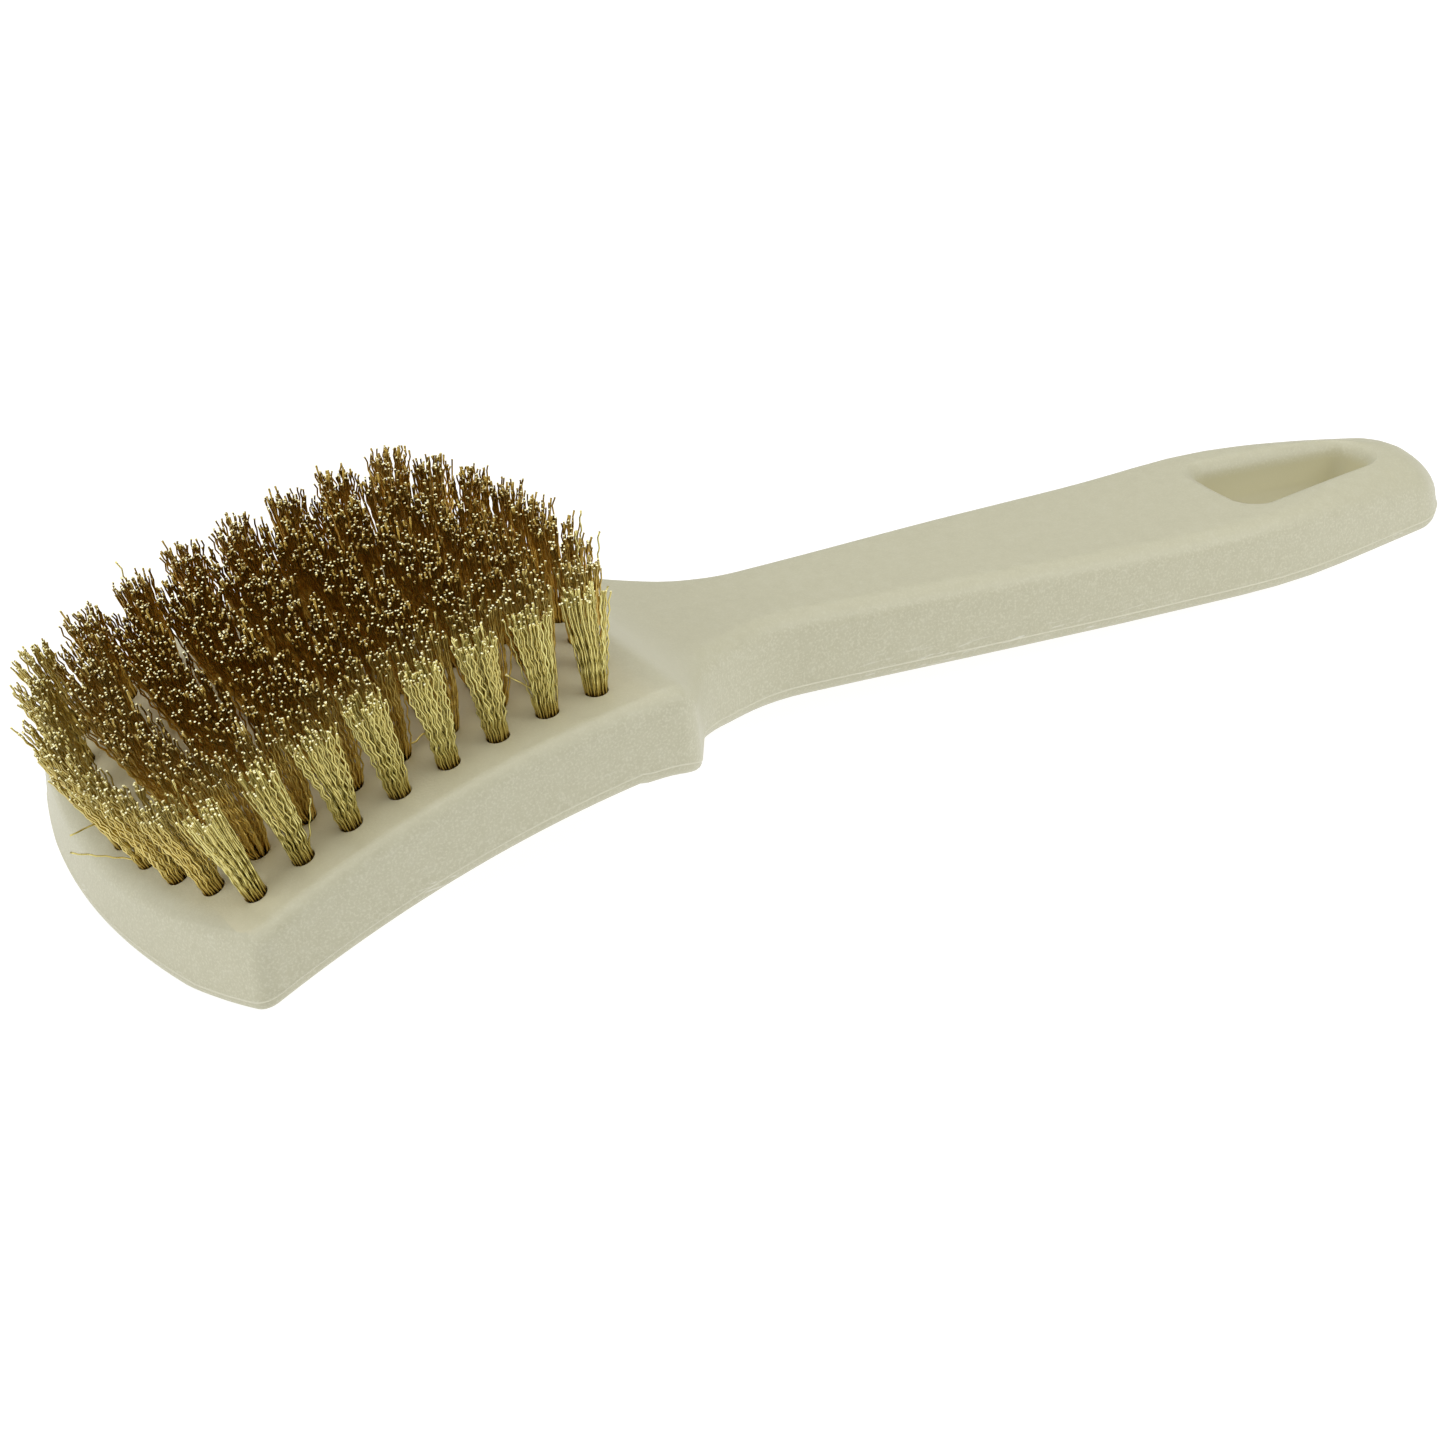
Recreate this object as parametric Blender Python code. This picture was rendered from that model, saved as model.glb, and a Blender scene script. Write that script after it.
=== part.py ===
"""Hand brush: a one-piece moulded block and handle, filled with nine rows of brass wire tufts.

The brush lies on its back with the wire up. X runs from the nose of the block to the end of
the handle, Y across the rows and Z up. The origin is on the surface that the brush lies on,
under the middle of its box. Lengths are written in millimetres and scaled by MM.
"""

import math

import bmesh
import bpy
from mathutils import Matrix, Vector

MM = 0.001
GAP = 0.4  # clearance between a tuft and the wall of its hole

# The face that holds the wire is an arc in side view, and it dips toward the nose.
FACE_RADIUS = 149.5
FACE_X = -73.25  # middle of the arc
FACE_Z = 23.05
FACE_DIP = math.radians(14.6)
BACK_RADIUS = 168.0
BLOCK_THICKNESS = 11.65  # plumb, at the middle of the arc

# Plan of the block and handle: half-widths along X.
BLOCK_HALF_WIDTH = 33.5
NOSE_X = -106.85
NOSE_RADIUS = 90.0
NOSE_STEPS = 9
CORNER_RADIUS = 3.0
SIDE_END_X = FACE_X + 31.0  # where the straight sides of the block stop being divided
SIDE_STEPS = 7
# One side of the neck, handle and rounded end: (X, half-width, corner radius). It narrows, then widens.
HANDLE_END_X = 111.85
HANDLE_PLAN = (
    (FACE_X + 35.2, BLOCK_HALF_WIDTH, 4.8),
    (FACE_X + 46.0, 16.4, 18.0),
    (FACE_X + 60.0, 9.3, 24.0),
    (FACE_X + 77.6, 10.5, 0),
    (FACE_X + 97.6, 12.0, 0),
    (FACE_X + 117.6, 13.4, 0),
    (FACE_X + 149.0, 15.1, 85.0),
    (HANDLE_END_X - 5.9, 9.5, 7.0),
    (HANDLE_END_X - 1.1, 5.2, 8.0),
    (HANDLE_END_X, 0, 0),
)

# Side view past the block: height above FACE_Z at a distance past FACE_X.
TOP_LINE = ((30.0, 4.75), (33.3, 4.7), (36.9, 2.8), (40.4, 0.5), (43.9, -1.1), (47.5, -2.0),
            (57.5, -3.4), (100.6, -7.0), (130.0, -9.5), (165.0, -10.9), (187.0, -12.3))
BACK_LINE = ((27.0, -7.15), (33.5, -7.7), (39.9, -10.6), (45.5, -13.0), (50.0, -14.5), (57.0, -16.0),
             (71.3, -17.0), (128.8, -20.5), (187.0, -23.6))

# Edges, from the back of the brush to its top.
PARTING_HEIGHT = 1.9
WALL_DRAFT = 0.25
TOP_EDGE_RADIUS = 2.2
# The top edge rounds over further and further toward the end of the handle.
END_EDGE_LENGTH = 42.0
END_EDGE_REACH = 6.0  # in plan
END_EDGE_DROP = 7.6
END_SETBACK = 4.0  # how much further back, along X, the rounded end starts at the top
END_SETBACK_X = HANDLE_END_X - 18.5

# Hanging slot, wide toward the block and narrow toward the end of the handle.
SLOT_NEAR_X = HANDLE_END_X - 39.5
SLOT_FAR_X = HANDLE_END_X - 13.6
SLOT_NEAR_HALF_WIDTH = 7.0
SLOT_FAR_HALF_WIDTH = 3.4
SLOT_CORNER_RADIUS = 2.6
SLOT_RIM = 2.0

# Tufts stand square to the face in rows along X that bow out at both ends.
ROWS = 9
ROW_PITCH = 6.5
TUFT_PITCH = 7.2
OUTER_ROW_TUFTS = 8
INNER_ROW_TUFTS = 9
ROW_END_RADIUS = 54.0
HOLE_RADIUS = 1.6
HOLE_DEPTH = 6.5
TUFT_HEIGHT = 14.0
TUFT_SIDES = 10
# (radius, height above the face): packed in the hole, flared at the cut ends
TUFT_PROFILE = ((HOLE_RADIUS - GAP, GAP - HOLE_DEPTH), (HOLE_RADIUS - GAP, 0.6), (2.3, 9.0), (2.9, TUFT_HEIGHT))
# Inside the brush, neighbours along a row tangle at their tips and are one body.
OUTER_ROW_GROUPS = (1,) * OUTER_ROW_TUFTS
INNER_ROW_GROUPS = (1, 2, 2, 1, 2, 1)
ROW_NAMES = "ABCDEFGHI"


def clear_scene():
    for obj in list(bpy.data.objects):
        bpy.data.objects.remove(obj, do_unlink=True)


def plain_material(name, colour, roughness, metallic):
    material = bpy.data.materials.new(name)
    material.use_nodes = True
    shader = material.node_tree.nodes["Principled BSDF"]
    shader.inputs["Base Color"].default_value = (*colour, 1.0)
    shader.inputs["Roughness"].default_value = roughness
    shader.inputs["Metallic"].default_value = metallic
    material.diffuse_color = (*colour, 1.0)
    return material


def new_object(name, bm, material):
    """A mesh object from bm, which is in millimetres."""
    bmesh.ops.recalc_face_normals(bm, faces=bm.faces)
    bmesh.ops.scale(bm, vec=(MM, MM, MM), verts=bm.verts)
    mesh = bpy.data.meshes.new(name)
    bm.to_mesh(mesh)
    bm.free()
    mesh.materials.append(material)
    mesh.shade_smooth()
    mesh.set_sharp_from_angle(angle=math.radians(40))
    obj = bpy.data.objects.new(name, mesh)
    bpy.context.scene.collection.objects.link(obj)
    return obj


def curve_through(points, x):
    """Height at x of a smooth curve through points, which are sorted by x."""
    last = len(points) - 2
    i = max(k for k in range(last + 1) if k == 0 or points[k][0] <= x)

    def slope(k):
        before = points[max(k - 1, 0)]
        after = points[min(k + 1, last + 1)]
        return (after[1] - before[1]) / (after[0] - before[0])

    (x0, z0), (x1, z1) = points[i], points[i + 1]
    span = x1 - x0
    t = (x - x0) / span
    return ((2 * t**3 - 3 * t**2 + 1) * z0 + (t**3 - 2 * t**2 + t) * span * slope(i)
            + (3 * t**2 - 2 * t**3) * z1 + (t**3 - t**2) * span * slope(i + 1))


def arc_centre(radius, middle_z):
    """Centre, in side view, of an arc along the block that passes through the middle at middle_z."""
    return Vector((FACE_X + radius * math.sin(FACE_DIP), middle_z - radius * math.cos(FACE_DIP)))


def side_line(x, radius, middle_z, line):
    """Height of a side-view line: an arc along the block, then the curve through its points."""
    if x - FACE_X < line[0][0]:
        centre = arc_centre(radius, middle_z)
        return centre.y + math.sqrt(radius**2 - (x - centre.x) ** 2)
    return FACE_Z + curve_through(line, x - FACE_X)


def top_height(x):
    return side_line(x, FACE_RADIUS, FACE_Z, TOP_LINE)


def back_height(x):
    """The back, with a small flat where the nose and the end of the handle touch the surface."""
    return max(0.0, side_line(x, BACK_RADIUS, FACE_Z - BLOCK_THICKNESS, BACK_LINE))


def rounded_path(corners, step_angle=math.radians(15)):
    """An open path through corners, each (x, y, radius) and rounded by an arc of its radius."""
    path = []
    for k, (x, y, radius) in enumerate(corners):
        here = Vector((x, y))
        if radius == 0:
            path.append(here)
            continue
        before = (Vector(corners[k - 1][:2]) - here).normalized()
        after = (Vector(corners[k + 1][:2]) - here).normalized()
        half = before.angle(after) / 2
        centre = here + (before + after).normalized() * radius / math.sin(half)
        start = here + before * radius / math.tan(half) - centre
        turn = math.pi - 2 * half
        if before.x * after.y - before.y * after.x > 0:
            turn = -turn
        steps = max(2, round(abs(turn) / step_angle))
        for n in range(steps + 1):
            path.append(centre + Matrix.Rotation(turn * n / steps, 2) @ start)
    return path


def half_outline():
    """Half of the plan, on the +Y side, from the nose to the end of the handle."""
    nose_sweep = math.asin(BLOCK_HALF_WIDTH / NOSE_RADIUS)
    corners = []
    for n in range(NOSE_STEPS + 1):
        angle = nose_sweep * n / NOSE_STEPS
        x = NOSE_X + NOSE_RADIUS * (1 - math.cos(angle))
        radius = CORNER_RADIUS if n == NOSE_STEPS else 0
        corners.append((x, NOSE_RADIUS * math.sin(angle), radius))
    side_start = corners[-1][0] + CORNER_RADIUS
    for n in range(SIDE_STEPS + 1):
        corners.append((side_start + (SIDE_END_X - side_start) * n / SIDE_STEPS, BLOCK_HALF_WIDTH, 0))
    return rounded_path([*corners, *HANDLE_PLAN])


def outward(path, k):
    """Outward direction of the closed plan at point k of its +Y half."""
    here = path[k]
    before = path[k - 1] if k > 0 else Vector((path[1].x, -path[1].y))
    after = path[k + 1] if k < len(path) - 1 else Vector((path[-2].x, -path[-2].y))
    along = (here - before).normalized() + (after - here).normalized()
    return Vector((-along.y, along.x)).normalized()


def top_edge(x):
    """Reach in plan and drop in height of the rounded top edge."""
    to_end = (1 - min(HANDLE_END_X - x, END_EDGE_LENGTH) / END_EDGE_LENGTH) ** 2
    return (TOP_EDGE_RADIUS + (END_EDGE_REACH - TOP_EDGE_RADIUS) * to_end,
            TOP_EDGE_RADIUS + (END_EDGE_DROP - TOP_EDGE_RADIUS) * to_end)


def edge_levels():
    """Levels up the wall: (inset, share of the top edge's reach, height, share of its drop, end setback).

    The height is above the back, or None where the level hangs below the top by a share of the drop.
    """
    levels = []
    for angle in (0, 45, 90):
        a = math.radians(angle)
        levels.append((PARTING_HEIGHT * (1 - math.sin(a)), 0.0, PARTING_HEIGHT * (1 - math.cos(a)), 0.0, 0.0))
    for angle, setback in ((0, 0.2), (30, 0.4), (60, 0.7), (90, 1.0)):
        a = math.radians(angle)
        levels.append((WALL_DRAFT, 1 - math.cos(a), None, 1 - math.sin(a), setback * END_SETBACK))
    return levels


def block_mesh():
    path = half_outline()
    bm = bmesh.new()
    rings = []
    for inset, reach_share, above_back, drop_share, setback in edge_levels():
        near, far = [], []
        for k, point in enumerate(path):
            reach, drop = top_edge(point.x)
            place = point - outward(path, k) * (inset + reach * reach_share)
            place.x -= setback * max(0.0, (point.x - END_SETBACK_X) / (HANDLE_END_X - END_SETBACK_X))
            if above_back is None:
                z = top_height(place.x) - drop * drop_share
            else:
                z = back_height(place.x) + above_back
            far.append(bm.verts.new((place.x, max(place.y, 0.0), z)))
            if 0 < k < len(path) - 1:
                near.append(bm.verts.new((place.x, -place.y, z)))
            else:
                near.append(far[-1])
        rings.append((near, far))
    for lower, upper in zip(rings, rings[1:]):
        for side in (0, 1):
            for k in range(len(path) - 1):
                bm.faces.new((lower[side][k], lower[side][k + 1], upper[side][k + 1], upper[side][k]))
    for near, far in (rings[0], rings[-1]):
        for k in range(len(path) - 1):
            corners = (near[k], near[k + 1], far[k + 1], far[k])
            bm.faces.new(list(dict.fromkeys(corners)))
    return bm


def slot_cutter_mesh():
    """A tapered slot with flared rims at the top and the back of the handle."""
    corners = [
        (SLOT_NEAR_X, 0, 0),
        (SLOT_NEAR_X + 0.3, SLOT_NEAR_HALF_WIDTH, SLOT_CORNER_RADIUS),
        (SLOT_FAR_X - 0.3, SLOT_FAR_HALF_WIDTH, SLOT_CORNER_RADIUS),
        (SLOT_FAR_X, 0, 0),
    ]
    path = rounded_path(corners, math.radians(22))
    over = 2.0
    levels = ((back_height, -over, SLOT_RIM + 0.4), (back_height, 0.0, SLOT_RIM), (back_height, SLOT_RIM, 0.3),
              (back_height, 5.4, 0.0), (top_height, -SLOT_RIM, 0.5), (top_height, 0.0, SLOT_RIM),
              (top_height, over, SLOT_RIM + 0.4))
    bm = bmesh.new()
    rings = []
    for height, offset, flare in levels:
        half = [point + outward(path, k) * flare for k, point in enumerate(path)]
        mirrored = [Vector((p.x, -p.y)) for p in reversed(half[1:-1])]
        rings.append([bm.verts.new((p.x, p.y, height(p.x) + offset)) for p in half + mirrored])
    count = len(rings[0])
    for lower, upper in zip(rings, rings[1:]):
        for k in range(count):
            after = (k + 1) % count
            bm.faces.new((lower[k], lower[after], upper[after], upper[k]))
    for ring in (rings[0], rings[-1]):
        bmesh.ops.triangulate(bm, faces=[bm.faces.new(ring)])
    return bm


def tuft_seats(row):
    """Where the tufts of a row stand: matrices in millimetres, with Z out of the face."""
    y = (row - (ROWS - 1) / 2) * ROW_PITCH
    edge_y = (ROWS - 1) / 2 * ROW_PITCH
    bow = math.sqrt(ROW_END_RADIUS**2 - y**2) - math.sqrt(ROW_END_RADIUS**2 - edge_y**2)
    reach = TUFT_PITCH * (OUTER_ROW_TUFTS - 1) / 2 + bow
    count = OUTER_ROW_TUFTS if row in (0, ROWS - 1) else INNER_ROW_TUFTS
    centre = arc_centre(FACE_RADIUS, FACE_Z)
    seats = []
    for n in range(count):
        along = -reach + 2 * reach * n / (count - 1)
        lean = along / FACE_RADIUS - FACE_DIP
        place = Vector((centre.x + FACE_RADIUS * math.sin(lean), y, centre.y + FACE_RADIUS * math.cos(lean)))
        seats.append(Matrix.Translation(place) @ Matrix.Rotation(lean, 4, "Y"))
    return seats


def add_turned(bm, seat, profile, sides):
    """A closed turned solid of (radius, height) rings standing on seat. Returns its rings of vertices."""
    rings = []
    for radius, height in profile:
        ring = []
        for n in range(sides):
            angle = 2 * math.pi * (n + 0.5) / sides
            local = Vector((radius * math.cos(angle), radius * math.sin(angle), height))
            ring.append(bm.verts.new(seat @ local))
        rings.append(ring)
    for lower, upper in zip(rings, rings[1:]):
        for n in range(sides):
            after = (n + 1) % sides
            bm.faces.new((lower[n], lower[after], upper[after], upper[n]))
    bm.faces.new(list(reversed(rings[0])))
    bm.faces.new(rings[-1])
    return rings


def join_tips(bm, left, right):
    """Replaces the facing sides of two tufts' tips by a web, so that they are one body."""
    middle = TUFT_SIDES // 2
    toward_right = (left[-2][-1], left[-2][0], left[-1][0], left[-1][-1])
    toward_left = (right[-2][middle], right[-2][middle - 1], right[-1][middle - 1], right[-1][middle])
    for quad in (toward_right, toward_left):
        bm.faces.remove(bm.faces.get(quad))
    for k in range(4):
        after = (k + 1) % 4
        bm.faces.new((toward_right[k], toward_right[after], toward_left[after], toward_left[k]))


def make_tufts(material):
    for row in range(ROWS):
        seats = tuft_seats(row)
        groups = OUTER_ROW_GROUPS if row in (0, ROWS - 1) else INNER_ROW_GROUPS
        first = 0
        for size in groups:
            members = seats[first:first + size]
            name = "tuft_" + ROW_NAMES[row] + "_".join(str(first + n + 1) for n in range(size))
            bm = bmesh.new()
            to_local = members[0].inverted()
            rings = [add_turned(bm, to_local @ seat, TUFT_PROFILE, TUFT_SIDES) for seat in members]
            for left, right in zip(rings, rings[1:]):
                join_tips(bm, left, right)
            tuft = new_object(name, bm, material)
            place = members[0].copy()
            place.translation *= MM
            tuft.matrix_world = place
            first += size


def cut_from(obj, name, bm, material):
    """Cuts a closed helper solid, kept hidden, from obj."""
    cutter = new_object(name, bm, material)
    cutter.hide_render = True
    cutter.display_type = "WIRE"
    modifier = obj.modifiers.new(name, "BOOLEAN")
    modifier.operation = "DIFFERENCE"
    modifier.solver = "EXACT"
    modifier.object = cutter


def make_block(material):
    block = new_object("block_handle", block_mesh(), material)
    holes = bmesh.new()
    for row in range(ROWS):
        for seat in tuft_seats(row):
            add_turned(holes, seat, ((HOLE_RADIUS, -HOLE_DEPTH), (HOLE_RADIUS, 2.0)), TUFT_SIDES)
    cut_from(block, "tuft_holes", holes, material)
    cut_from(block, "hanging_slot", slot_cutter_mesh(), material)


clear_scene()
make_block(plain_material("ivory_plastic", (0.55, 0.53, 0.40), 0.55, 0.0))
make_tufts(plain_material("brass_wire", (0.62, 0.47, 0.16), 0.35, 1.0))
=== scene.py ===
"""Scene for the hand brush: the moulded body, its wire tufts, staples, materials, light and camera.

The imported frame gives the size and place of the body. Lengths below are in millimetres in the
frame's own axes: X from the nose of the block to the end of the handle, Y across the rows of
tufts, Z up from the surface that the brush lies on.
"""

import math

import bmesh
import bpy
import numpy as np
from mathutils import Matrix, Vector


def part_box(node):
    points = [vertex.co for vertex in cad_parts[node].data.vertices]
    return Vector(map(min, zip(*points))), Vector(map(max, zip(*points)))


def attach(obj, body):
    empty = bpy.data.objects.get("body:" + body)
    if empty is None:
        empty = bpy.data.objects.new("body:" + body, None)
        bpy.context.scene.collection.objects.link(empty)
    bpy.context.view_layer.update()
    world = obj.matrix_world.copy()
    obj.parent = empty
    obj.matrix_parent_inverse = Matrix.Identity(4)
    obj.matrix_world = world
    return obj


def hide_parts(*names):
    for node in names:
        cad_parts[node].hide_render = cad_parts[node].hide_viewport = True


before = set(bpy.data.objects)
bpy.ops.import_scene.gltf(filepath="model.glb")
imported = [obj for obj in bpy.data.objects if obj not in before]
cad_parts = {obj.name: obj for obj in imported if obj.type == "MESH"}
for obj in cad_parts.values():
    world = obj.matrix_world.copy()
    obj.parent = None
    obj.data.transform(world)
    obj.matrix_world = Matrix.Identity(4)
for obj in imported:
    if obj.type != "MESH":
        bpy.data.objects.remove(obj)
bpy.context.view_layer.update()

MM = 0.001
SEED = 7

BLOCK_LOW, BLOCK_HIGH = (Vector(corner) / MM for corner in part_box("block_handle"))
NOSE_X = BLOCK_LOW.x
HANDLE_END_X = BLOCK_HIGH.x
BLOCK_HALF_WIDTH = BLOCK_HIGH.y

# The face that holds the wire is an arc in side view, and it dips toward the nose.
FACE_X = NOSE_X + 33.6  # middle of the arc
FACE_Z = BLOCK_HIGH.z - 4.79
FACE_RADIUS = 149.5
FACE_DIP = math.radians(14.6)
BACK_RADIUS = 168.0
BLOCK_THICKNESS = 11.65

# Plan of the block and handle.
NOSE_RADIUS = 90.0
NOSE_STEPS = 40
CORNER_RADIUS = 3.0
LONGEST_STEP = 1.2
HANDLE_PLAN = (
    (FACE_X + 35.2, BLOCK_HALF_WIDTH, 4.8),
    (FACE_X + 46.0, 16.4, 18.0),
    (FACE_X + 60.0, 9.3, 24.0),
    (FACE_X + 77.6, 10.5, 0),
    (FACE_X + 97.6, 12.0, 0),
    (FACE_X + 117.6, 13.4, 0),
    (FACE_X + 149.0, 15.1, 85.0),
    (HANDLE_END_X - 5.9, 9.5, 7.0),
    (HANDLE_END_X - 1.1, 5.2, 8.0),
    (HANDLE_END_X, 0, 0),
)

# Side view past the block: height above FACE_Z at a distance past FACE_X.
TOP_LINE = ((30.0, 4.75), (33.3, 4.7), (36.9, 2.8), (40.4, 0.5), (43.9, -1.1), (47.5, -2.0),
            (57.5, -3.4), (100.6, -7.0), (130.0, -9.5), (165.0, -10.9), (187.0, -12.3))
BACK_LINE = ((27.0, -7.15), (33.5, -7.7), (39.9, -10.8), (45.5, -13.6), (50.0, -14.8),
             (57.0, -16.0), (71.3, -17.0), (128.8, -20.5), (187.0, -23.6))

# Edges of the moulding.
PARTING_HEIGHT = 1.9
FLASH = 0.11  # how far the parting line stands proud
FLASH_RISE = 0.13
FLASH_TOP = 0.3
BACK_ROUND_STEPS = 6
WALL_DRAFT = 0.25
LEAST_WALL = 0.2
BLOCK_EDGE_RADIUS = 2.2
HANDLE_EDGE_RADIUS = 3.0
# The top edge rounds over further and further along the last stretch of the handle.
END_EDGE_LENGTH = 42.0
END_EDGE_REACH = 14.0  # in plan
END_EDGE_DROP = 8.2
CAP_ROUND_STEPS = 7
CAP_FLAT_STEPS = 6

# Hanging slot.
SLOT_NEAR_X = HANDLE_END_X - 39.5
SLOT_FAR_X = HANDLE_END_X - 13.6
SLOT_NEAR_HALF_WIDTH = 7.0
SLOT_FAR_HALF_WIDTH = 3.4
SLOT_CORNER_RADIUS = 2.6
SLOT_RIM = 2.7  # radius of the rounds at both rims
SLOT_RIM_STEPS = 5
SLOT_RIDGE_HEIGHT = 5.4
SLOT_RIDGE = 0.12

# Tufts.
ROWS = 9
ROW_PITCH = 6.5
TUFT_PITCH = 7.2
OUTER_ROW_TUFTS = 8
INNER_ROW_TUFTS = 9
ROW_END_RADIUS = 54.0
ROW_NAMES = "ABCDEFGHI"
INNER_ROW_GROUPS = (1, 2, 2, 1, 2, 1)  # how the frame joins tufts of an inner row into nodes
HOLE_RADIUS = 1.5
HOLE_DEPTH = 6.5
HOLE_LEAD_IN = 0.08
HOLE_SIDES = 24
TUFT_HEIGHT = 14.0

# Wire.
WIRES = 60
WIRE_RADIUS = 0.12
WIRE_SIDES = 5
BASE_RADIUS = 1.4
# Radius at the tips, and the power of the height that a tuft widens with.
OUTER_SHAPE = (3.1, 1.1)
INNER_SHAPE = (4.2, 0.65)
CLUMPS = 8  # bunches that the tips of a tuft gather in
CLUMPING = 0.3
TIP_SCATTER = 0.38
TRIM_ABOVE = 0.3  # how far the tallest trimmed wires stand over TUFT_HEIGHT
TRIM_SCATTER = 0.55
LONG_WIRES = 0.03  # part of the wires that the trim missed
WANDER = 0.3  # sideways drift of a wire on its way up
CRIMP_LENGTH = 2.2
CRIMP_HEIGHT = 0.15
CRIMP_SCATTER = 0.7  # how far the crimps of one tuft are out of step, in radians
CUT_BURR = 1.3  # how much wider a wire is at its sheared end
ROOT_DEPTH = 4.5  # where the wires meet their staple
STAPLE_RADIUS = 0.22
STAPLE_BEND = 0.35
# How much painted shade a tuft's wire takes: none in the front row, some along the nose, full further in.
PAINTED_SHADE_BY_ROW = (0.0, 0.7, 1.0)
PAINTED_SHADE_BY_TUFT = (0.3, 0.85, 1.0)
# Wires that stand away from their tuft: (row, tuft, turn about the tuft from +X, tilt, start height,
# length).
STRAYS = (
    ("D", 1, 140, 62, 0.2, 8.8),
    ("E", 1, 185, 70, 4.5, 4.2),
    ("A", 7, 180, 42, 3.6, 5.2),
    ("A", 2, -5, 27, 0.2, 7.4),
    ("B", 5, 0, 84, 0.3, 3.4),
    ("B", 9, 10, 9, 0.2, 17.4),
    ("B", 9, 60, 5, 0.2, 17.6),
    ("C", 9, 20, 6, 0.2, 17.2),
    ("G", 1, 170, 9, 2.0, 13.2),
    ("I", 3, 80, 20, 1.0, 14.2),
)

# Camera.
CAMERA_FROM_FACE = Vector((-175.7, -389.6, 221.7))
CAMERA_AZIMUTH = math.radians(31.03)  # from +Y toward +X
CAMERA_ELEVATION = math.radians(28.22)
CAMERA_ROLL = math.radians(-2.33)
CAMERA_LENS = 93.18
SENSOR = 36.0


def curve_through(points, x):
    """Height at x of a smooth curve through points, which are sorted by x."""
    last = len(points) - 2
    i = max(k for k in range(last + 1) if k == 0 or points[k][0] <= x)

    def slope(k):
        before = points[max(k - 1, 0)]
        after = points[min(k + 1, last + 1)]
        return (after[1] - before[1]) / (after[0] - before[0])

    (x0, z0), (x1, z1) = points[i], points[i + 1]
    span = x1 - x0
    t = (x - x0) / span
    return ((2 * t**3 - 3 * t**2 + 1) * z0 + (t**3 - 2 * t**2 + t) * span * slope(i)
            + (3 * t**2 - 2 * t**3) * z1 + (t**3 - t**2) * span * slope(i + 1))


def arc_centre(radius, middle_z):
    """Centre, in side view, of an arc along the block that passes through the middle at middle_z."""
    return Vector((FACE_X + radius * math.sin(FACE_DIP), middle_z - radius * math.cos(FACE_DIP)))


def side_line(x, radius, middle_z, line):
    """Height of a side-view line: an arc along the block, then the curve through its points."""
    if x - FACE_X < line[0][0]:
        centre = arc_centre(radius, middle_z)
        return centre.y + math.sqrt(radius**2 - (x - centre.x) ** 2)
    return FACE_Z + curve_through(line, x - FACE_X)


def top_height(x):
    return side_line(x, FACE_RADIUS, FACE_Z, TOP_LINE)


def back_height(x):
    """The back, with a small flat where the nose and the end of the handle touch the surface."""
    return max(0.0, side_line(x, BACK_RADIUS, FACE_Z - BLOCK_THICKNESS, BACK_LINE))


def rounded_path(corners, step_angle, longest_step):
    """An open path through corners, each (x, y, radius), with rounds as arcs and long runs divided."""
    path = []
    for k, (x, y, radius) in enumerate(corners):
        here = Vector((x, y))
        if radius == 0:
            path.append(here)
            continue
        before = (Vector(corners[k - 1][:2]) - here).normalized()
        after = (Vector(corners[k + 1][:2]) - here).normalized()
        half = before.angle(after) / 2
        centre = here + (before + after).normalized() * radius / math.sin(half)
        start = here + before * radius / math.tan(half) - centre
        turn = math.pi - 2 * half
        if before.x * after.y - before.y * after.x > 0:
            turn = -turn
        steps = max(2, round(abs(turn) / step_angle))
        for n in range(steps + 1):
            path.append(centre + Matrix.Rotation(turn * n / steps, 2) @ start)
    divided = [path[0]]
    for before, after in zip(path, path[1:]):
        steps = max(1, math.ceil((after - before).length / longest_step))
        divided += [before.lerp(after, n / steps) for n in range(1, steps + 1)]
    return divided


def half_outline():
    """Half of the plan, on the +Y side, from the nose to the end of the handle."""
    nose_sweep = math.asin(BLOCK_HALF_WIDTH / NOSE_RADIUS)
    corners = []
    # The last steps before the corner are left out, so that its round fits on a straight run.
    for n in (*range(NOSE_STEPS - 3), NOSE_STEPS):
        angle = nose_sweep * n / NOSE_STEPS
        x = NOSE_X + NOSE_RADIUS * (1 - math.cos(angle))
        corners.append((x, NOSE_RADIUS * math.sin(angle), CORNER_RADIUS if n == NOSE_STEPS else 0))
    return rounded_path([*corners, *HANDLE_PLAN], math.radians(5), LONGEST_STEP)


def outward(path, k):
    """Outward direction of the closed plan at point k of its +Y half."""
    here = path[k]
    before = path[k - 1] if k > 0 else Vector((path[1].x, -path[1].y))
    after = path[k + 1] if k < len(path) - 1 else Vector((path[-2].x, -path[-2].y))
    along = (here - before).normalized() + (after - here).normalized()
    return Vector((-along.y, along.x)).normalized()


def smooth_step(x, low, high):
    t = min(max((x - low) / (high - low), 0.0), 1.0)
    return t * t * (3 - 2 * t)


def top_edge(x):
    """Reach in plan and drop in height of the rounded top edge."""
    on_handle = smooth_step(x - FACE_X, 26.0, 44.0)
    radius = BLOCK_EDGE_RADIUS + (HANDLE_EDGE_RADIUS - BLOCK_EDGE_RADIUS) * on_handle
    to_end = (1 - min(HANDLE_END_X - x, END_EDGE_LENGTH) / END_EDGE_LENGTH) ** 2
    return radius + (END_EDGE_REACH - radius) * to_end, radius + (END_EDGE_DROP - radius) * to_end


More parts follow.
